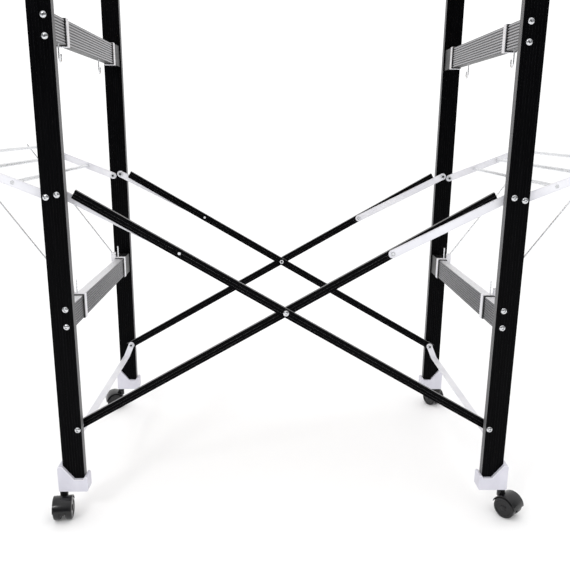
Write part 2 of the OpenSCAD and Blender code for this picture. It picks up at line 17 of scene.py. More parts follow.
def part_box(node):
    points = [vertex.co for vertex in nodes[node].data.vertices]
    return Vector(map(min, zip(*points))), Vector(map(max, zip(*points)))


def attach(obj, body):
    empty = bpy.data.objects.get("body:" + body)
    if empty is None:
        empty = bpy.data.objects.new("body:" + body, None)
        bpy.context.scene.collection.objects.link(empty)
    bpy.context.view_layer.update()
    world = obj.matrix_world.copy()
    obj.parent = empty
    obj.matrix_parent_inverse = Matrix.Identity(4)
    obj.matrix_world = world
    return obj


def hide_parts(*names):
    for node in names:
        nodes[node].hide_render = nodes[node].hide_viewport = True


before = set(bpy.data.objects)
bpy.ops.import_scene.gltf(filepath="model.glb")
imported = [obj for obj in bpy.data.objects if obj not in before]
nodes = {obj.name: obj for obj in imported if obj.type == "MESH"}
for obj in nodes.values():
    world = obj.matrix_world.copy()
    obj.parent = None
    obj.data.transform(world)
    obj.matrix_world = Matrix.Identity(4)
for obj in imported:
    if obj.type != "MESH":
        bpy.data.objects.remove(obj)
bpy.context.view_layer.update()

MM = 0.001

# %% [markdown]
# ## Camera
# The object is seen from just in front of its middle, a little above half its
# height. A camera looks along its own -Z, so its three axes are worked out from a
# pitch, a yaw and a small roll, which is easier to read than a matrix of numbers.

# %% Place the camera
LENS_MM = 40.79
EYE = Vector((-0.0343, -1.5276, 0.821))
PITCH = math.radians(13.90)
YAW = math.radians(-1.43)
ROLL = math.radians(0.56)

ahead = Vector((-math.sin(YAW), math.cos(YAW), 0.0))
right = Vector((math.cos(YAW), math.sin(YAW), 0.0))
world_up = Vector((0.0, 0.0, 1.0))
look = math.cos(PITCH) * ahead - math.sin(PITCH) * world_up
up = math.sin(PITCH) * ahead + math.cos(PITCH) * world_up
cam_x = math.cos(ROLL) * right + math.sin(ROLL) * up
cam_y = math.cos(ROLL) * up - math.sin(ROLL) * right

camera_data = bpy.data.cameras.new("studio_camera")
camera_data.lens = LENS_MM
camera_data.sensor_width = 36.0
camera_data.clip_start = 0.05
camera = bpy.data.objects.new("studio_camera", camera_data)
bpy.context.scene.collection.objects.link(camera)
turn = Matrix((cam_x, cam_y, -look)).transposed()
camera.matrix_world = Matrix.Translation(EYE) @ turn.to_4x4()
bpy.context.scene.camera = camera
print("camera at", tuple(round(v, 3) for v in EYE), "lens", LENS_MM)

# %% [markdown]
# ## Studio
# Black gloss shows whatever stands round it. A bright wall behind the object and a
# darker room in front keep the broad faces black and let the narrow side faces pick
# up a grey line. Only mirror-like rays see this room. All others see plain white, so
# the background stays white and the pale pieces are lit evenly.

# %% Build the room
WALL_FRONT, WALL_BACK = 0.06, 1.0  # brightness of the two ends of the room
WALL_FADE = (-0.55, 0.45)          # how far a ray leans to the back where the fade starts and ends
CEILING = 1.0
CEILING_FADE = (0.25, 0.9)         # the same for how far a ray leans upwards
OPEN_LIGHT = 1.15                  # what every ray but a mirror-like one sees

scene = bpy.context.scene
scene.view_settings.view_transform = "Standard"
world = bpy.data.worlds.new("studio_room")
scene.world = world
world.use_nodes = True
world.cycles.sampling_method = "NONE"
room = world.node_tree
room.nodes.clear()


def room_node(kind, **values):
    """Adds a node to the room's tree; _2=0.5 sets its input number 2."""
    made = room.nodes.new(kind)
    for key, value in values.items():
        made.inputs[int(key[1:])].default_value = value
    return made


where = room_node("ShaderNodeTexCoord")
split = room_node("ShaderNodeSeparateXYZ")
room.links.new(where.outputs["Generated"], split.inputs[0])
front_to_back = room_node("ShaderNodeMapRange", _1=WALL_FADE[0], _2=WALL_FADE[1],
                          _3=WALL_FRONT, _4=WALL_BACK)
front_to_back.interpolation_type = "SMOOTHSTEP"
room.links.new(split.outputs["Y"], front_to_back.inputs[0])
to_ceiling = room_node("ShaderNodeMapRange", _1=CEILING_FADE[0], _2=CEILING_FADE[1],
                       _3=0.0, _4=CEILING)
room.links.new(split.outputs["Z"], to_ceiling.inputs[0])
brightest = room_node("ShaderNodeMath")
brightest.operation = "MAXIMUM"
room.links.new(front_to_back.outputs[0], brightest.inputs[0])
room.links.new(to_ceiling.outputs[0], brightest.inputs[1])
ray = room_node("ShaderNodeLightPath")
strength = room_node("ShaderNodeMix", _2=OPEN_LIGHT)
strength.data_type = "FLOAT"
room.links.new(ray.outputs["Is Glossy Ray"], strength.inputs[0])
room.links.new(brightest.outputs[0], strength.inputs[3])
glow = room_node("ShaderNodeBackground", _0=(1.0, 1.0, 1.0, 1.0))
room.links.new(strength.outputs[0], glow.inputs[1])
room_out = room_node("ShaderNodeOutputWorld")
room.links.new(glow.outputs[0], room_out.inputs[0])
print("room:", len(room.nodes), "nodes, walls from", WALL_FRONT, "to", WALL_BACK)

# %% [markdown]
# ## Lamps and floor
# A small key lamp puts one highlight on each rounded piece. A wide, low fill lights
# the fronts and is kept out of reflections, so the black faces stay black, and a wide
# lamp above evens out the rest. The floor is one plain face.


# %% Light the stage and lay the floor
def soft_box(name, place, aim, size, watts, in_gloss=True):
    """A square area light that looks at a point."""
    data = bpy.data.lights.new(name, "AREA")
    data.energy = watts
    data.size = size
    lamp = bpy.data.objects.new(name, data)
    scene.collection.objects.link(lamp)
    lamp.location = place
    lamp.rotation_euler = (Vector(aim) - Vector(place)).to_track_quat("-Z", "Y").to_euler()
    lamp.visible_glossy = in_gloss
    return lamp


soft_box("key_box", (-1.6, -2.6, 2.6), (0.0, 0.0, 0.5), 0.5, 16.0)
soft_box("fill_box", (1.4, -3.0, 0.9), (0.0, 0.0, 0.5), 2.4, 5.0, in_gloss=False)
soft_box("top_box", (0.0, 0.3, 3.6), (0.0, 0.0, 0.0), 2.6, 10.0)


def plain_mesh(name, vertices, faces):
    """A mesh object whose place is in its vertices."""
    data = bpy.data.meshes.new(name)
    data.from_pydata(vertices, [], faces)
    data.update()
    made = bpy.data.objects.new(name, data)
    scene.collection.objects.link(made)
    return made


FLOOR = 14.0  # half its width, in metres
ring = [(-FLOOR, -FLOOR, 0), (FLOOR, -FLOOR, 0), (FLOOR, FLOOR, 0), (-FLOOR, FLOOR, 0)]
floor = plain_mesh("studio_floor", ring, [(0, 1, 2, 3)])
print("floor", 2 * FLOOR, "m wide, three soft boxes")

# %% [markdown]
# ## A small kit for finishes
# Each finish is a Principled shader with patterns in Object coordinates, so that it
# stays put when the piece moves. The helper below starts one, and the next helpers
# add what most finishes need: a stretched or an even grain that varies the colour,
# the roughness and the relief together.


# %% Helpers for materials
class Finish:
    """A material under construction."""

    def __init__(self, name, rough, metal=0.0, spec=0.5):
        self.material = bpy.data.materials.new(name)
        self.material.use_nodes = True
        self.tree = self.material.node_tree
        self.shader = self.tree.nodes["Principled BSDF"]
        self.shader.inputs["Roughness"].default_value = rough
        self.shader.inputs["Metallic"].default_value = metal
        self.shader.inputs["Specular IOR Level"].default_value = spec
        self.place = self.node("ShaderNodeTexCoord")

    def node(self, kind, **props):
        made = self.tree.nodes.new(kind)
        for key, value in props.items():
            setattr(made, key, value)
        return made

    def link(self, source, target):
        self.tree.links.new(source, target)

    def grain(self, scale, stretch=(1, 1, 1), detail=4.0, rough=0.55):
        """Noise in Object coordinates, stretched by a Mapping node; gives its factor."""
        mapping = self.node("ShaderNodeMapping")
        mapping.inputs["Scale"].default_value = stretch
        self.link(self.place.outputs["Object"], mapping.inputs["Vector"])
        noise = self.node("ShaderNodeTexNoise")
        noise.inputs["Scale"].default_value = scale
        noise.inputs["Detail"].default_value = detail
        noise.inputs["Roughness"].default_value = rough
        self.link(mapping.outputs[0], noise.inputs["Vector"])
        return noise.outputs["Fac"]

    def spread(self, value, low, high, new_low, new_high):
        """Maps a value from one range to another."""
        made = self.node("ShaderNodeMapRange")
        for slot, number in zip((1, 2, 3, 4), (low, high, new_low, new_high)):
            made.inputs[slot].default_value = number
        self.link(value, made.inputs[0])
        return made.outputs[0]

    def contrast(self, grain, low=0.3, high=0.7):
        """Widens the middle of a grain to the whole range from 0 to 1."""
        return self.spread(grain, low, high, 0.0, 1.0)

    def blend(self, factor, first, second):
        """Colour mix; either colour may be a tuple or another output."""
        made = self.node("ShaderNodeMix", data_type="RGBA")
        self.link(factor, made.inputs[0])
        for slot, colour in ((6, first), (7, second)):
            if isinstance(colour, tuple):
                made.inputs[slot].default_value = (*colour, 1.0)
            else:
                self.link(colour, made.inputs[slot])
        return made.outputs[2]

    def side_mask(self, axis, both=True):
        """1 on the faces that look along an axis, or only up it, and 0 elsewhere."""
        parts = self.node("ShaderNodeSeparateXYZ")
        self.link(self.place.outputs["Normal"], parts.inputs[0])
        facing = parts.outputs[axis]
        if both:
            size = self.node("ShaderNodeMath", operation="ABSOLUTE")
            self.link(facing, size.inputs[0])
            facing = size.outputs[0]
        return self.contrast(facing, 0.6, 0.9)

    def colour(self, value):
        self.link(value, self.shader.inputs["Base Color"])

    def roughness(self, value):
        self.link(value, self.shader.inputs["Roughness"])

    def relief(self, value, strength, depth_mm):
        bump = self.node("ShaderNodeBump")
        bump.inputs["Strength"].default_value = strength
        bump.inputs["Distance"].default_value = depth_mm * MM
        self.link(value, bump.inputs["Height"])
        self.link(bump.outputs[0], self.shader.inputs["Normal"])


# %% [markdown]
# ## Black extrusions
# The legs and braces are drawn aluminium with a black coat. A die leaves faint lines
# along the length, so the grain is stretched that way. The narrow side faces are
# painted a lighter grey, a painted sheen that shows as a grey line down each leg. The
# walls of the flutes look the same way as those sides, so the distance from the leg's
# middle tells them apart. One finish serves all four legs, because they mirror each other.

# %% Finish for the legs
BLACK_COAT = ((0.0005, 0.0005, 0.0008), (0.0020, 0.0020, 0.0026))
# The second pair of colours is a painted sheen down the narrow sides of each leg.
LEG_SIDE_SHEEN = ((0.12, 0.12, 0.124), (0.18, 0.18, 0.186))
SIDE_FROM, SIDE_FULL = 1.2, 0.6  # mm inside the leg's side, where the grey starts and is full
FLUTE_SHEEN_SHARE = 0.12               # how much of that grey the walls of the flutes keep


def black_leg_finish():
    f = Finish("black_leg_coat", 0.36, spec=0.04)
    draw = f.grain(38.0, (14.0, 14.0, 0.35))
    cloud = f.grain(7.0, (1.0, 1.0, 0.4), detail=2.0)
    broad = f.blend(f.contrast(draw), *BLACK_COAT)
    edge = f.blend(f.contrast(draw), *LEG_SIDE_SHEEN)
    low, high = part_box("front_right_leg")
    parts = f.node("ShaderNodeSeparateXYZ")
    f.link(f.place.outputs["Object"], parts.inputs[0])
    off = f.node("ShaderNodeMath", operation="ABSOLUTE")
    f.link(parts.outputs["X"], off.inputs[0])
    past = f.node("ShaderNodeMath", operation="SUBTRACT")
    past.inputs[1].default_value = (low.x + high.x) / 2
    f.link(off.outputs[0], past.inputs[0])
    apart = f.node("ShaderNodeMath", operation="ABSOLUTE")
    f.link(past.outputs[0], apart.inputs[0])
    half = (high.x - low.x) / 2
    # The lighter grey down the narrow sides is a painted sheen, and the flute walls keep a share of
    # it.
    near_side = f.spread(apart.outputs[0], half - SIDE_FROM * MM, half - SIDE_FULL * MM,
                         FLUTE_SHEEN_SHARE, 1.0)
    at_side = f.node("ShaderNodeMath", operation="MULTIPLY")
    f.link(near_side, at_side.inputs[0])
    f.link(f.side_mask("X"), at_side.inputs[1])
    f.colour(f.blend(at_side.outputs[0], broad, edge))
    f.roughness(f.spread(cloud, 0.3, 0.7, 0.30, 0.44))
    f.relief(draw, 0.25, 0.05)
    return f.material


leg_coat = black_leg_finish()
print("made", leg_coat.name)

# %% [markdown]
# ## Sloping braces
# The braces wear the same coat, but their length runs at a slope. A Mapping node
# scales first and turns afterwards, so one node turns the pattern onto the slope and
# a second one then stretches it along the brace. Their upper and lower sides are
# painted a lighter grey, a painted sheen.

# %% Finish for the braces
BRACE_SLOPE = math.radians(30)
# The second pair of colours is a painted sheen on the braces' upper and lower sides.
BRACE_SIDE_SHEEN = ((0.14, 0.14, 0.144), (0.24, 0.24, 0.246))


def black_brace_finish(name, slope):
    f = Finish(name, 0.38, spec=0.04)
    along = f.node("ShaderNodeMapping")
    along.inputs["Rotation"].default_value = (0.0, slope, 0.0)
    f.link(f.place.outputs["Object"], along.inputs["Vector"])
    stretch = f.node("ShaderNodeMapping")
    stretch.inputs["Scale"].default_value = (0.35, 14.0, 14.0)
    f.link(along.outputs[0], stretch.inputs["Vector"])
    draw = f.node("ShaderNodeTexNoise")
    draw.inputs["Scale"].default_value = 40.0
    draw.inputs["Detail"].default_value = 4.0
    f.link(stretch.outputs[0], draw.inputs["Vector"])
    line = f.contrast(draw.outputs["Fac"])
    broad = f.blend(line, *BLACK_COAT)
    edge = f.blend(line, *BRACE_SIDE_SHEEN)
    # Painted sheen: the upper and lower sides take the lighter grey.
    f.colour(f.blend(f.side_mask("Z"), broad, edge))
    f.roughness(f.spread(draw.outputs["Fac"], 0.3, 0.7, 0.3, 0.46))
    f.relief(draw.outputs["Fac"], 0.25, 0.05)
    return f.material


brace_coats = {"a": black_brace_finish("black_brace_coat_a", BRACE_SLOPE),
               "b": black_brace_finish("black_brace_coat_b", -BRACE_SLOPE)}
print("made", [coat.name for coat in brace_coats.values()])

# %% [markdown]
# ## Silver rails
# The cross rails are bare aluminium with a satin anodised skin. The ribs are real
# geometry, and the finish darkens the floor of each groove with painted shade. The
# flat top is painted brighter, a painted highlight. Fine lines run along Y over a slow
# change of tone.

# %% Finish for the rails
RAIL_GROOVES = 8
# The grooves' floors get painted shade across this span, at this share of the dark tone.
GROOVE_EDGE = (0.19, 0.29)  # from a groove's middle to its floor's end and its rib, in spacings
GROOVE_PAINTED_SHADE = 0.22         # the floor's brightness, as a share of the dark tone
# The lighter pair of colours on the rails' flat tops is a painted highlight.
RAIL_TOP_HIGHLIGHT = ((0.74, 0.74, 0.76), (0.86, 0.86, 0.88))


def silver_rail_finish(name, rail, dark, light):
    low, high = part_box(rail)
    f = Finish(name, 0.42, metal=0.8)
    draw = f.grain(42.0, (16.0, 0.3, 16.0))
    tone = f.grain(5.0, (1.0, 0.5, 1.0), detail=2.0)
    base = f.blend(f.contrast(draw), dark, light)
    skin = f.blend(f.spread(tone, 0.35, 0.65, 0.0, 0.4), base, dark)
    parts = f.node("ShaderNodeSeparateXYZ")
    f.link(f.place.outputs["Object"], parts.inputs[0])
    step = f.spread(parts.outputs["Z"], low.z, high.z, 0.0, RAIL_GROOVES + 1.0)
    nearest = f.node("ShaderNodeMath", operation="PINGPONG")
    nearest.inputs[1].default_value = 0.5
    f.link(step, nearest.inputs[0])
    # Painted shade on the floor of each groove.
    groove = f.spread(nearest.outputs[0], *GROOVE_EDGE, 1.0, 0.0)
    broad = f.blend(groove, skin, tuple(GROOVE_PAINTED_SHADE * part for part in dark))
    # Painted highlight on the rail's flat top.
    painted_top_highlight = f.blend(f.contrast(draw), *RAIL_TOP_HIGHLIGHT)
    f.colour(f.blend(f.side_mask("Z", both=False), broad, painted_top_highlight))
    f.roughness(f.spread(draw, 0.3, 0.7, 0.34, 0.52))
    f.relief(draw, 0.3, 0.06)
    return f.material


# The three rail finishes are one aluminium; the lower rails' much darker copy is painted shade.
lower_skin = silver_rail_finish("lower_rail_anodised", "left_lower_rail",
                                (0.13, 0.13, 0.14), (0.25, 0.25, 0.265))
upper_skin = silver_rail_finish("upper_rail_anodised", "left_upper_rail",
                                (0.32, 0.32, 0.335), (0.54, 0.54, 0.56))
top_skin = silver_rail_finish("top_rail_anodised", "left_top_rail",
                              (0.30, 0.30, 0.315), (0.48, 0.48, 0.50))
print("made", lower_skin.name, upper_skin.name, top_skin.name)

# %% [markdown]
# ## White coats and pale plastic
# Links, straps and rack arms wear a white powder coat with a fine orange peel. The
# boots and clips are moulded plastic with a cool tint and a finer, flatter grain.
# Both are made the same way, with their own scale and depth.


# %% Finishes for the white pieces
def powder_coat_finish():
    f = Finish("white_powder_coat", 0.34, spec=0.5)
    peel = f.grain(520.0, detail=2.0, rough=0.4)
    tone = f.grain(14.0, detail=3.0)
    f.colour(f.blend(f.contrast(tone, 0.35, 0.65), (0.68, 0.68, 0.725), (0.76, 0.76, 0.795)))
    f.roughness(f.spread(peel, 0.3, 0.7, 0.28, 0.42))
    f.relief(peel, 0.35, 0.06)
    return f.material


def moulded_white_finish(name, dark, light):
    f = Finish(name, 0.45, spec=0.45)
    grain = f.grain(900.0, detail=2.0)
    flow = f.grain(22.0, (1.0, 1.0, 0.5), detail=3.0)
    f.colour(f.blend(f.contrast(flow, 0.35, 0.65), dark, light))
    f.roughness(f.spread(grain, 0.3, 0.7, 0.40, 0.54))
    f.relief(grain, 0.3, 0.04)
    return f.material


white_coat = powder_coat_finish()
boot_white = moulded_white_finish("moulded_boot_white", (0.56, 0.555, 0.62), (0.63, 0.625, 0.69))
clip_white = moulded_white_finish("moulded_clip_white", (0.74, 0.74, 0.78), (0.80, 0.80, 0.83))
print("made", white_coat.name, boot_white.name, clip_white.name)

# %% [markdown]
# ## Black plastic, zinc and wire
# The castors are glossy nylon with a slightly cloudy skin. The bolts are zinc plated,
# which grows a fine patchwork of crystals, made here from cells of slightly
# different tone. The wire is drawn steel.


# %% Finishes for the small pieces
def black_plastic_finish(name, gloss):
    f = Finish(name, gloss, spec=0.42)
    grain = f.grain(700.0, detail=2.0)
    cloud = f.grain(30.0, detail=3.0)
    f.colour(f.blend(f.contrast(cloud, 0.35, 0.65), (0.003, 0.003, 0.0036), (0.008, 0.008, 0.009)))
    f.roughness(f.spread(cloud, 0.3, 0.7, gloss - 0.06, gloss + 0.08))
    f.relief(grain, 0.2, 0.04)
    return f.material


def zinc_finish():
    f = Finish("bright_zinc", 0.22, metal=1.0)
    cells = f.node("ShaderNodeTexVoronoi")
    cells.inputs["Scale"].default_value = 900.0
    f.link(f.place.outputs["Object"], cells.inputs["Vector"])
    patch = f.node("ShaderNodeSeparateColor")
    f.link(cells.outputs["Color"], patch.inputs[0])
    f.colour(f.blend(patch.outputs[0], (0.55, 0.56, 0.58), (0.80, 0.81, 0.83)))
    f.roughness(f.spread(patch.outputs[1], 0.0, 1.0, 0.14, 0.30))
    f.relief(f.grain(600.0), 0.15, 0.03)
    return f.material


def wire_finish(name, stretch):
    f = Finish(name, 0.28, metal=0.75)
    draw = f.grain(60.0, stretch)
    f.colour(f.blend(f.contrast(draw), (0.72, 0.73, 0.75), (0.86, 0.87, 0.89)))
    f.roughness(f.spread(draw, 0.3, 0.7, 0.2, 0.36))
    f.relief(draw, 0.05, 0.01)
    return f.material


castor_black = black_plastic_finish("black_castor_nylon", 0.20)
trim_black = black_plastic_finish("black_trim_plastic", 0.42)
zinc = zinc_finish()
stay_wire = wire_finish("drawn_stay_wire", (4.0, 4.0, 4.0))
rod_steel = wire_finish("drawn_rod_steel", (10.0, 0.3, 10.0))
print("made", castor_black.name, trim_black.name, zinc.name, stay_wire.name, rod_steel.name)

# %% [markdown]
# ## Deck
# The board is birch plywood under clear varnish. Its top shows long grain, and its
# edges show the plies as thin bands up the thickness. The frame round it is plain
# satin aluminium. The floor's matt finish is made here too.

# %% Finishes for the deck and the floor
PLIES = 9


def plywood_finish(plies, low_z, high_z):
    f = Finish("birch_plywood", 0.38, spec=0.45)
    fibre = f.grain(9.0, (0.6, 9.0, 9.0), detail=7.0, rough=0.6)
    pores = f.grain(160.0, (0.08, 1.6, 1.6), detail=3.0)
    face = f.blend(f.contrast(fibre, 0.32, 0.68), (0.46, 0.28, 0.13), (0.72, 0.52, 0.31))
    face = f.blend(f.spread(pores, 0.52, 0.72, 0.0, 0.45), face, (0.30, 0.17, 0.08))
    parts = f.node("ShaderNodeSeparateXYZ")
    f.link(f.place.outputs["Object"], parts.inputs[0])
    level = f.spread(parts.outputs["Z"], low_z, high_z, 0.0, float(plies))
    band = f.node("ShaderNodeMath", operation="PINGPONG")
    band.inputs[1].default_value = 1.0
    f.link(level, band.inputs[0])
    edge = f.blend(f.contrast(band.outputs[0], 0.35, 0.65), (0.50, 0.33, 0.17), (0.76, 0.60, 0.40))
    f.colour(f.blend(f.side_mask("Z"), edge, face))
    f.roughness(f.spread(fibre, 0.3, 0.7, 0.30, 0.48))
    f.relief(fibre, 0.25, 0.12)
    return f.material


def deck_aluminium_finish():
    f = Finish("satin_deck_aluminium", 0.4, metal=0.9)
    draw = f.grain(44.0, (0.3, 14.0, 14.0))
    f.colour(f.blend(f.contrast(draw), (0.42, 0.42, 0.44), (0.62, 0.62, 0.64)))
    f.roughness(f.spread(draw, 0.3, 0.7, 0.30, 0.48))
    f.relief(draw, 0.25, 0.05)
    return f.material


def floor_finish():
    f = Finish("pale_floor", 0.9, spec=0.1)
    cloud = f.grain(1.5, detail=2.0)
    f.colour(f.blend(cloud, (0.93, 0.93, 0.935), (0.95, 0.95, 0.95)))
    return f.material


board_low, board_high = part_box("deck_board")
plywood = plywood_finish(PLIES, board_low.z, board_high.z)
deck_metal = deck_aluminium_finish()
floor.data.materials.append(floor_finish())
print("made", plywood.name, deck_metal.name, floor.data.materials[0].name)

# %% [markdown]
# ## Eased edges
# A real edge is never perfectly sharp, and it is the eased edge that shows a line of
# light. The solids arrive as loose triangles, so three modifiers do the work and
# leave the mesh itself alone: Weld joins the points, Decimate clears the flat faces
# of needless edges, and Bevel rounds what is left.

# %% Dress the solids
JOIN_WITHIN = 0.01                # mm between points that are one point
LEVEL_WITHIN = math.radians(0.5)  # faces that turn by less are one flat face
EASE_FROM = math.radians(40)      # edges that turn by less stay as they are


def ease_edges(obj, width_mm, segments=2):
    weld = obj.modifiers.new("join_points", "WELD")
    weld.merge_threshold = JOIN_WITHIN * MM
    clear = obj.modifiers.new("clear_flats", "DECIMATE")
    clear.decimate_type = "DISSOLVE"
    clear.angle_limit = LEVEL_WITHIN
    bevel = obj.modifiers.new("eased_edges", "BEVEL")
    bevel.width = width_mm * MM
    bevel.segments = segments
    bevel.limit_method = "ANGLE"
    bevel.angle_limit = EASE_FROM


def dress(names, material, edge_mm=0.0, segments=2):
    """Gives CAD pieces a finish and, where asked, eased edges."""
    for name in names:
        obj = nodes[name]
        obj.data.materials.clear()
        obj.data.materials.append(material)
        if edge_mm > 0:
            ease_edges(obj, edge_mm, segments)


SIDES = ("left", "right")
ROWS = ("front", "rear")
CORNERS = [f"{row}_{side}" for row in ROWS for side in SIDES]

for corner in CORNERS:
    dress([f"{corner}_leg"], leg_coat, 0.3)
    dress([f"{corner}_castor_body"], castor_black, 1.2, 3)
    dress([f"{corner}_wheels"], castor_black)
    dress([f"{corner}_axle"], trim_black)
for row in ROWS:
    for pair in "ab":
        dress([f"{row}_brace_{pair}"], brace_coats[pair], 0.4)
for side in SIDES:
    dress([f"{side}_lower_rail"], lower_skin, 0.25)
    dress([f"{side}_upper_rail"], upper_skin, 0.25)
    dress([f"{side}_top_rail"], top_skin, 0.25)
    # The black clip collars stand where each clip casts its shadow on the rail: a dark piece put in
    # as painted shadow.
    dress([f"{side}_leg_caps", f"{side}_clip_collars"], trim_black, 0.4)
    dress([f"{side}_feet"], boot_white, 1.2, 3)
    dress([f"{side}_rail_clips"], clip_white, 0.5)
    dress([f"{side}_links", f"{side}_strap", f"{side}_rack_arms"], white_coat, 0.5)
    dress([f"{side}_rack_rods"], rod_steel)
    dress([f"{side}_stays", f"{side}_wire_hooks"], stay_wire)
    dress([f"{side}_frame_bolts", f"{side}_pivot_bolts", f"{side}_link_rivets"], zinc)
    dress([f"{side}_spacers"], clip_white)
dress(["centre_bolts", "brace_a_rivets", "brace_b_rivets", "deck_hinge_pin"], zinc)
dress(["deck_board"], plywood, 0.5)
dress(["deck_frame"], deck_metal, 0.5)
print("dressed", len(nodes), "solids")

# %% [markdown]
# ## Rules that grow the small repeated things
# Bolts, rivets, hub caps and beads repeat, so each kind is one Geometry Nodes tree
# with named sizes. A tree works on plain points or edges that are read off the
# solids. It places copies there, makes them real and gives them their material.
# The grown mesh is then kept as an ordinary object that rides on its body.


# %% Helpers for the rules
class Rule:
    """A Geometry Nodes tree under construction, with named size inputs in metres."""

    def __init__(self, name, *sizes):
        self.tree = bpy.data.node_groups.new(name, "GeometryNodeTree")
        face = self.tree.interface
        face.new_socket("Geometry", in_out="INPUT", socket_type="NodeSocketGeometry")
        face.new_socket("Geometry", in_out="OUTPUT", socket_type="NodeSocketGeometry")
        face.new_socket("Material", in_out="INPUT", socket_type="NodeSocketMaterial")
        for size in sizes:
            face.new_socket(size, in_out="INPUT", socket_type="NodeSocketFloat")
        self.given = self.node("NodeGroupInput").outputs

    def node(self, kind, inputs=None, **props):
        made = self.tree.nodes.new(kind)
        for key, value in props.items():
            setattr(made, key, value)
        for key, value in (inputs or {}).items():
            self.feed(value, made.inputs[key])
        return made

    def feed(self, value, socket):
        """Links another node's output, or sets a plain value."""
        if isinstance(value, bpy.types.NodeSocket):
            self.tree.links.new(value, socket)
        else:
            socket.default_value = value

    def reckon(self, kind, first, second):
        """Arithmetic on two sizes or plain numbers."""
        return self.node("ShaderNodeMath", {0: first, 1: second}, operation=kind).outputs[0]

    def vector(self, x, y, z):
        return self.node("ShaderNodeCombineXYZ", {0: x, 1: y, 2: z}).outputs[0]

    def attribute(self, name, kind="FLOAT"):
        made = self.node("GeometryNodeInputNamedAttribute", {"Name": name}, data_type=kind)
        return made.outputs[0]

    def drum(self, corners, width, height, low_z):
        """A closed round or many-sided drum that stands on a level."""
        body = self.node("GeometryNodeMeshCylinder", {
            "Vertices": corners, "Radius": self.reckon("MULTIPLY", width, 0.5), "Depth": height})
        middle = self.reckon("ADD", low_z, self.reckon("MULTIPLY", height, 0.5))
        return self.moved(body.outputs["Mesh"], self.vector(0.0, 0.0, middle))

    def moved(self, shape, offset, scale=(1.0, 1.0, 1.0)):
        return self.node("GeometryNodeTransform", {
            "Geometry": shape, "Translation": offset, "Scale": scale}).outputs[0]

    def cut(self, shape, *tools):
        made = self.node("GeometryNodeMeshBoolean", {0: shape}, operation="DIFFERENCE")
        for tool in tools:
            self.tree.links.new(tool, made.inputs[1])
        return made.outputs[0]

    def at_points(self, shape, wanted, scale=(1.0, 1.0, 1.0)):
        """Copies of a shape on the wanted points, its Z turned to their outward direction."""
        turn = self.node("FunctionNodeAlignRotationToVector",
                         {"Vector": self.attribute("outward", "FLOAT_VECTOR")}, axis="Z")
        return self.node("GeometryNodeInstanceOnPoints", {
            "Points": self.given["Geometry"], "Selection": self.attribute(wanted),
            "Instance": shape, "Rotation": turn.outputs[0], "Scale": scale}).outputs[0]

    def close(self, *parts):
        """Joins the parts, makes the copies real and sets the material."""
        join = self.node("GeometryNodeJoinGeometry")
        for part in parts:
            self.tree.links.new(part, join.inputs[0])
        real = self.node("GeometryNodeRealizeInstances", {0: join.outputs[0]})
        painted = self.node("GeometryNodeSetMaterial", {
            "Geometry": real.outputs[0], "Material": self.given["Material"]})
        self.node("NodeGroupOutput", {0: painted.outputs[0]})
        return self.tree


def grow(name, seed, tree, material, body, replaced, slot, crease=35, **sizes_mm):
    """Runs a tree on a seed mesh and keeps the result as a plain object on a body."""
    rule = seed.modifiers.new("rule", "NODES")
    rule.node_group = tree
    for item in tree.interface.items_tree:
        if item.in_out == "INPUT" and item.name in sizes_mm:
            rule[item.identifier] = sizes_mm[item.name] * MM
        if item.in_out == "INPUT" and item.name == "Material":
            rule[item.identifier] = material
    grown = seed.evaluated_get(bpy.context.evaluated_depsgraph_get())
    mesh = bpy.data.meshes.new_from_object(grown)
    mesh.name = name
    mesh.polygons.foreach_set("use_smooth", [True] * len(mesh.polygons))
    mesh.set_sharp_from_angle(angle=math.radians(crease))
    piece = bpy.data.objects.new(name, mesh)
    scene.collection.objects.link(piece)
    bpy.data.objects.remove(seed)
    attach(piece, body)
    if replaced:
        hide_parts(*replaced)
    print(f"{name}: {len(mesh.polygons)} faces on {body}")
    return piece


# %% [markdown]
# ## Reading the solids
# The seeds come from the solids themselves. Each piece of hardware is one island of
# its mesh, and its box says where it starts, where it ends and which way it faces.


# %% Helpers that read islands
SAME_POINT = 0.002  # mm


def islands(name):
    """Separate solids of a node, each as a list of joined bmesh faces, in a fixed order."""
    solid = bmesh.new()
    solid.from_mesh(nodes[name].data)
    bmesh.ops.remove_doubles(solid, verts=solid.verts, dist=SAME_POINT * MM)
    left = dict.fromkeys(solid.faces)
    found = []
    while left:
        group, front = [], [left.popitem()[0]]
        while front:
            face = front.pop()
            group.append(face)
            for edge in face.edges:
                for other in edge.link_faces:
                    if other in left:
                        del left[other]
                        front.append(other)
        found.append(group)
    return solid, found


def corners_of(group):
    """The points of one solid, each once, in a fixed order."""
    return list(dict.fromkeys(corner for face in group for corner in face.verts))


def seed_points(name, rows):
    """A mesh of loose points that carry their direction and sizes as attributes."""
    data = bpy.data.meshes.new(name)
    data.from_pydata([row["place"] for row in rows], [], [])
    outward = data.attributes.new("outward", "FLOAT_VECTOR", "POINT")
    for point, row in zip(outward.data, rows):
        point.vector = row["outward"]
    for key in ("head", "length", "thick", "nut"):
        layer = data.attributes.new(key, "FLOAT", "POINT")
        for point, row in zip(layer.data, rows):
            point.value = row.get(key, 0.0)
    made = bpy.data.objects.new(name, data)
    scene.collection.objects.link(made)
    return made


# %% [markdown]
# ## Bolts
# A button head is a flattened ball cut level underneath, with a hexagonal socket
# sunk in its crown. The shank is a drum drawn out to the length of its bolt, and a
# bolt that holds a pivot ends in a nut. The first cell draws one of each, and the
# second finds out from the solids where each bolt sits and how long it is.

# %% Bolt rule
HEAD, HEAD_H, SOCKET, NUT, NUT_H, SHANK = 13.0, 3.4, 5.6, 11.4, 4.0, 6.0  # mm
SOCKET_FLOOR = 0.4  # how far up the head the socket starts, as a share of its rise
BLOCK = 0.01        # metres of the block that cuts the ball level

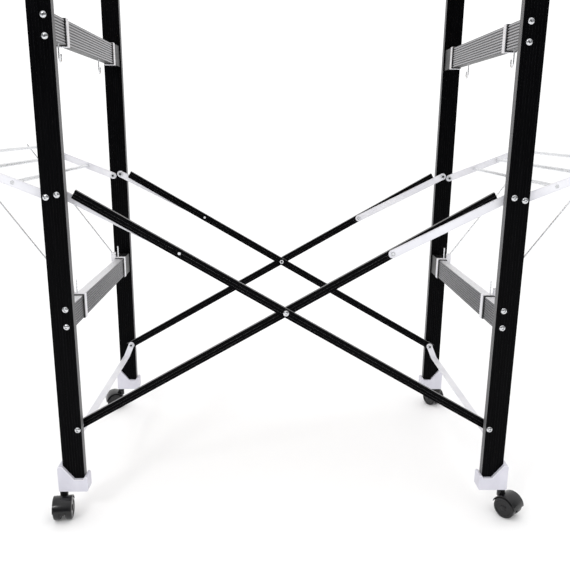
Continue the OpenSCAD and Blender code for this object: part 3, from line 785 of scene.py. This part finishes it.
bolt = Rule("domed_bolts", "Head", "Rise", "Socket", "Shank", "Nut", "NutRise")
size = bolt.given
ball = bolt.node("GeometryNodeMeshUVSphere", {"Segments": 36, "Rings": 18, "Radius": 0.5})
dome = bolt.moved(ball.outputs["Mesh"], (0.0, 0.0, 0.0),
                  bolt.vector(size["Head"], size["Head"], bolt.reckon("MULTIPLY", size["Rise"], 2.0)))
below = bolt.drum(24, bolt.reckon("MULTIPLY", size["Head"], 1.5), BLOCK, -BLOCK)
key_hole = bolt.drum(6, size["Socket"], size["Rise"],
                     bolt.reckon("MULTIPLY", size["Rise"], SOCKET_FLOOR))
heads = bolt.at_points(bolt.cut(dome, below, key_hole), "head")
stick = bolt.drum(24, size["Shank"], 1.0, -1.0)
thick = bolt.attribute("thick")
shanks = bolt.at_points(stick, "length", bolt.vector(thick, thick, bolt.attribute("length")))
nuts = bolt.at_points(bolt.drum(6, size["Nut"], size["NutRise"], 0.0), "nut")
bolt_tree = bolt.close(heads, shanks, nuts)
print("bolt rule:", len(bolt_tree.nodes), "nodes")

# %% Set the bolts
PIN_BELOW = 6.0   # mm across; narrower hardware is a plain pin without a head
TAIL_DEPTH = 1.0  # mm of a bolt's end where its nut is looked for
NUT_FROM = 1.3    # times the shank's width; a wider tail is a nut


def bolt_rows(name):
    """One row for every bolt, and one more for its nut."""
    solid, groups = islands(name)
    rows = []
    for group in groups:
        corners = [corner.co for corner in corners_of(group)]
        low = Vector([min(c[i] for c in corners) for i in range(3)])
        high = Vector([max(c[i] for c in corners) for i in range(3)])
        middle = (low + high) / 2
        facing = 1.0 if middle.y > 0 else -1.0
        outer, inner = (high.y, low.y) if facing > 0 else (low.y, high.y)
        out = (0.0, facing, 0.0)
        if high.x - low.x < PIN_BELOW * MM:
            rows.append({"place": (middle.x, outer, middle.z), "outward": out,
                         "length": high.y - low.y, "thick": (high.x - low.x) / (SHANK * MM)})
            continue
        seat = outer - facing * HEAD_H * MM
        rows.append({"place": (middle.x, seat, middle.z), "outward": out, "head": 1.0,
                     "length": abs(seat - inner), "thick": 1.0})
        tail = [c for c in corners if abs(c.y - inner) < TAIL_DEPTH * MM]
        if max(c.x for c in tail) - min(c.x for c in tail) > NUT_FROM * SHANK * MM:
            rows.append({"place": (middle.x, inner, middle.z), "outward": out, "nut": 1.0})
    solid.free()
    return rows


BOLT_SIZES = {"Head": HEAD, "Rise": HEAD_H, "Socket": SOCKET,
              "Shank": SHANK, "Nut": NUT, "NutRise": NUT_H}
for side in SIDES:
    replaced = (f"{side}_frame_bolts", f"{side}_pivot_bolts")
    rows = [row for name in replaced for row in bolt_rows(name)]
    grow(f"{side}_domed_bolts", seed_points("bolt_seed", rows), bolt_tree, zinc,
         f"{side}_end", replaced, "zinc_fixings", **BOLT_SIZES)
grow("centre_domed_bolts", seed_points("bolt_seed", bolt_rows("centre_bolts")), bolt_tree, zinc,
     "brace_a", ("centre_bolts",), "zinc_fixings", **BOLT_SIZES)

# %% [markdown]
# ## Rivets
# A tubular rivet shows a rolled rim round a sunken middle. The rim is a ring swept
# round a circle, and the core is a plain drum that ends just below it.

# %% Rivet rule
RIM, RIM_ROLL, CORE = 9.0, 2.0, 6.0  # mm

rivet = Rule("rolled_rivets", "Rim", "Roll", "Shank")
size = rivet.given
rim_width = rivet.reckon("SUBTRACT", size["Rim"], size["Roll"])
round_path = rivet.node("GeometryNodeCurvePrimitiveCircle", {
    "Resolution": 32, "Radius": rivet.reckon("MULTIPLY", rim_width, 0.5)})
section = rivet.node("GeometryNodeCurvePrimitiveCircle", {
    "Resolution": 12, "Radius": rivet.reckon("MULTIPLY", size["Roll"], 0.5)})
ring = rivet.node("GeometryNodeCurveToMesh", {
    "Curve": round_path.outputs["Curve"], "Profile Curve": section.outputs["Curve"]})
half_down = rivet.vector(0.0, 0.0, rivet.reckon("MULTIPLY", size["Roll"], -0.5))
level_rim = rivet.moved(ring.outputs[0], half_down)
rims = rivet.at_points(level_rim, "head")
core = rivet.drum(24, size["Shank"], 1.0, -1.0)
cores = rivet.at_points(core, "length", rivet.vector(1.0, 1.0, rivet.attribute("length")))
rivet_tree = rivet.close(rims, cores)
print("rivet rule:", len(rivet_tree.nodes), "nodes")

# %% Set the rivets
HEAD_BEYOND = 3.5  # mm from the middle line; only a rivet's head reaches past it
CORE_SUNK = 0.9    # mm below the top of the rim
SAME_LEVEL = 0.01  # mm


def rivet_rows(name):
    """One row for the rim at each rivet's head, and one for the core below it."""
    solid, groups = islands(name)
    rows = []
    for group in groups:
        corners = [corner.co for corner in corners_of(group)]
        middle = sum(corners, Vector()) / len(corners)
        low_y, high_y = min(c.y for c in corners), max(c.y for c in corners)
        wide = [c.y for c in corners
                if math.hypot(c.x - middle.x, c.z - middle.z) > HEAD_BEYOND * MM]
        facing = 1.0 if abs(max(wide) - high_y) < SAME_LEVEL * MM else -1.0
        top = high_y if facing > 0 else low_y
        out = (0.0, facing, 0.0)
        sunk = CORE_SUNK * MM
        rows.append({"place": (middle.x, top, middle.z), "outward": out, "head": 1.0})
        rows.append({"place": (middle.x, top - facing * sunk, middle.z), "outward": out,
                     "length": high_y - low_y - sunk})
    solid.free()
    return rows


for side in SIDES:
    rows = rivet_rows(f"{side}_link_rivets")
    grow(f"{side}_rolled_rivets", seed_points("rivet_seed", rows), rivet_tree, zinc,
         f"{side}_link_pair", (f"{side}_link_rivets",), "zinc_fixings",
         Rim=RIM, Roll=RIM_ROLL, Shank=CORE)

# %% [markdown]
# ## Hub domes
# Each of the twin wheels has a smooth dome over its hub. It is a flattened ball that
# is sunk a little way into the wheel's face. The castors are turned to different
# angles, so the line through the two wheels' middles says which way a dome faces.

# %% Hub rule
HUB, HUB_RISE = 11.6, 1.4  # mm
HUB_SUNK = 0.4             # mm of the ball's middle below the wheel's face

hub = Rule("hub_domes", "Width", "Rise")
size = hub.given
ball = hub.node("GeometryNodeMeshUVSphere", {"Segments": 32, "Rings": 16, "Radius": 0.5})
cap = hub.moved(ball.outputs["Mesh"], (0.0, 0.0, 0.0),
                hub.vector(size["Width"], size["Width"], hub.reckon("MULTIPLY", size["Rise"], 2.0)))
hub_tree = hub.close(hub.at_points(cap, "head"))


def hub_rows(name):
    """One row for the outer face of each of the two wheels."""
    solid, groups = islands(name)
    wheels = [[corner.co for corner in corners_of(group)] for group in groups]
    middles = [sum(places, Vector()) / len(places) for places in wheels]
    axis = (middles[1] - middles[0]).normalized()
    rows = []
    for places, middle, out in zip(wheels, middles, (-axis, axis)):
        half = max((place - middle).dot(out) for place in places)
        rows.append({"place": middle + out * (half - HUB_SUNK * MM), "outward": out, "head": 1.0})
    solid.free()
    return rows


for corner in CORNERS:
    rows = hub_rows(f"{corner}_wheels")
    grow(f"{corner}_hub_domes", seed_points("hub_seed", rows), hub_tree, castor_black,
         f"{corner}_wheel_pair", (), "castor_tread", Width=HUB, Rise=HUB_RISE)

# %% [markdown]
# ## Outlines for the beads
# The boots end in a fine raised bead along their cut edge, and the links and rack
# arms are pressed with rolled edges. All of these follow the outline of a flat face,
# so the helpers walk round the open edge of that face and draw the line in by about
# half a bead, where it lies on the solid.

# %% Helpers that read outlines
FACES_Y = 0.99    # how squarely a face has to look along Y
FACE_DEPTH = 0.1  # mm of play between faces that lie at one level
NO_TURN = 1e-6    # a shorter sideways direction has no length to speak of
LEAST_LEAN = 0.5  # so that a sharp corner moves by twice the inset at most


def outer_loops(name, facing, inset):
    """Outlines of the flat faces that look along Y, one closed loop per solid."""
    solid, groups = islands(name)
    solid.edges.index_update()
    loops = []
    for group in groups:
        outer = max(facing * corner.co.y for corner in corners_of(group))
        flat = {face for face in group if facing * face.normal.y > FACES_Y
                and facing * face.calc_center_median().y > outer - FACE_DEPTH * MM}
        rim = {edge for face in flat for edge in face.edges
               if sum(other in flat for other in edge.link_faces) == 1}
        chains = []
        while rim:
            edge = min(rim, key=lambda e: e.index)
            rim.remove(edge)
            chain = list(edge.verts)
            while following := [e for e in chain[-1].link_edges if e in rim]:
                rim.remove(following[0])
                chain.append(following[0].other_vert(chain[-1]))
            chains.append([corner.co.copy() for corner in chain[:-1]])
        longest = max(chains, key=lambda c: sum((a - b).length for a, b in zip(c, c[1:])))
        loops.append(drawn_in(longest, inset))
    solid.free()
    return loops


def drawn_in(loop, inset):
    """Moves a loop in X and Z towards its own inside."""
    area = sum(a.x * b.z - b.x * a.z for a, b in zip(loop, loop[1:] + loop[:1]))
    turned = 1.0 if area > 0 else -1.0
    moved = []
    for before, here, after in zip(loop[-1:] + loop[:-1], loop, loop[1:] + loop[:1]):
        run_in, run_out = (here - before).normalized(), (after - here).normalized()
        side = Vector((-run_in.z - run_out.z, 0.0, run_in.x + run_out.x))
        if side.length > NO_TURN:
            side.normalize()
        lean = max(LEAST_LEAN, side.dot(Vector((-run_in.z, 0.0, run_in.x))))
        moved.append(here + side * turned * inset / lean)
    return moved


def upper_run(loop, level):
    """The stretch of a closed loop that lies above a level, from end to end."""
    lowest = min(range(len(loop)), key=lambda i: loop[i].z)
    return [point for point in loop[lowest:] + loop[:lowest] if point.z > level]


def seed_lines(name, paths, closed):
    """A mesh of edges that follow the paths."""
    points, edges = [], []
    for path in paths:
        first = len(points)
        points += [tuple(point) for point in path]
        edges += [(first + i, first + i + 1) for i in range(len(path) - 1)]
        if closed:
            edges.append((first + len(path) - 1, first))
    data = bpy.data.meshes.new(name)
    data.from_pydata(points, edges, [])
    made = bpy.data.objects.new(name, data)
    scene.collection.objects.link(made)
    return made


# %% [markdown]
# ## Beads and rolled edges
# One tree sweeps a small round section along whatever line it is given. A link or
# an arm is rolled all the way round. A boot's bead starts and ends a little above
# its lowest edge.

# %% Bead rule
BOOT_BEAD, ROLL = 1.6, 1.4   # mm
BEAD_FROM = 20.0             # mm above a boot's lowest edge
BEAD_IN, ROLL_IN = 0.5, 0.6  # from the outline to the middle of a bead, in bead widths

bead = Rule("swept_bead", "Bead")
size = bead.given
path = bead.node("GeometryNodeMeshToCurve", {"Mesh": size["Geometry"]})
section = bead.node("GeometryNodeCurvePrimitiveCircle", {
    "Resolution": 10, "Radius": bead.reckon("MULTIPLY", size["Bead"], 0.5)})
tube = bead.node("GeometryNodeCurveToMesh", {
    "Curve": path.outputs["Curve"], "Profile Curve": section.outputs["Curve"],
    "Fill Caps": True})
bead_tree = bead.close(tube.outputs[0])

for side in SIDES:
    runs = []
    for facing in (-1.0, 1.0):
        for loop in outer_loops(f"{side}_feet", facing, BEAD_IN * BOOT_BEAD * MM):
            if facing * loop[0].y > 0:  # the face that looks away from the middle
                level = min(point.z for point in loop) + BEAD_FROM * MM
                runs.append(upper_run(loop, level))
    # The beads are real raised geometry, but they take the paler clip white rather than the boot's
    # own white, which paints a highlight along each boot's edge.
    grow(f"{side}_boot_beads", seed_lines("bead_seed", runs, False), bead_tree, clip_white,
         f"{side}_end", (), "white_plastic", crease=80, Bead=BOOT_BEAD)
    for part, body in (("links", "link_pair"), ("rack_arms", "rack")):
        edges = []
        for facing in (-1.0, 1.0):
            edges += outer_loops(f"{side}_{part}", facing, ROLL_IN * ROLL * MM)
        grow(f"{side}_{part}_rolled_edges", seed_lines("edge_seed", edges, True), bead_tree,
             white_coat, f"{side}_{body}", (), "white_steel", crease=80, Bead=ROLL)
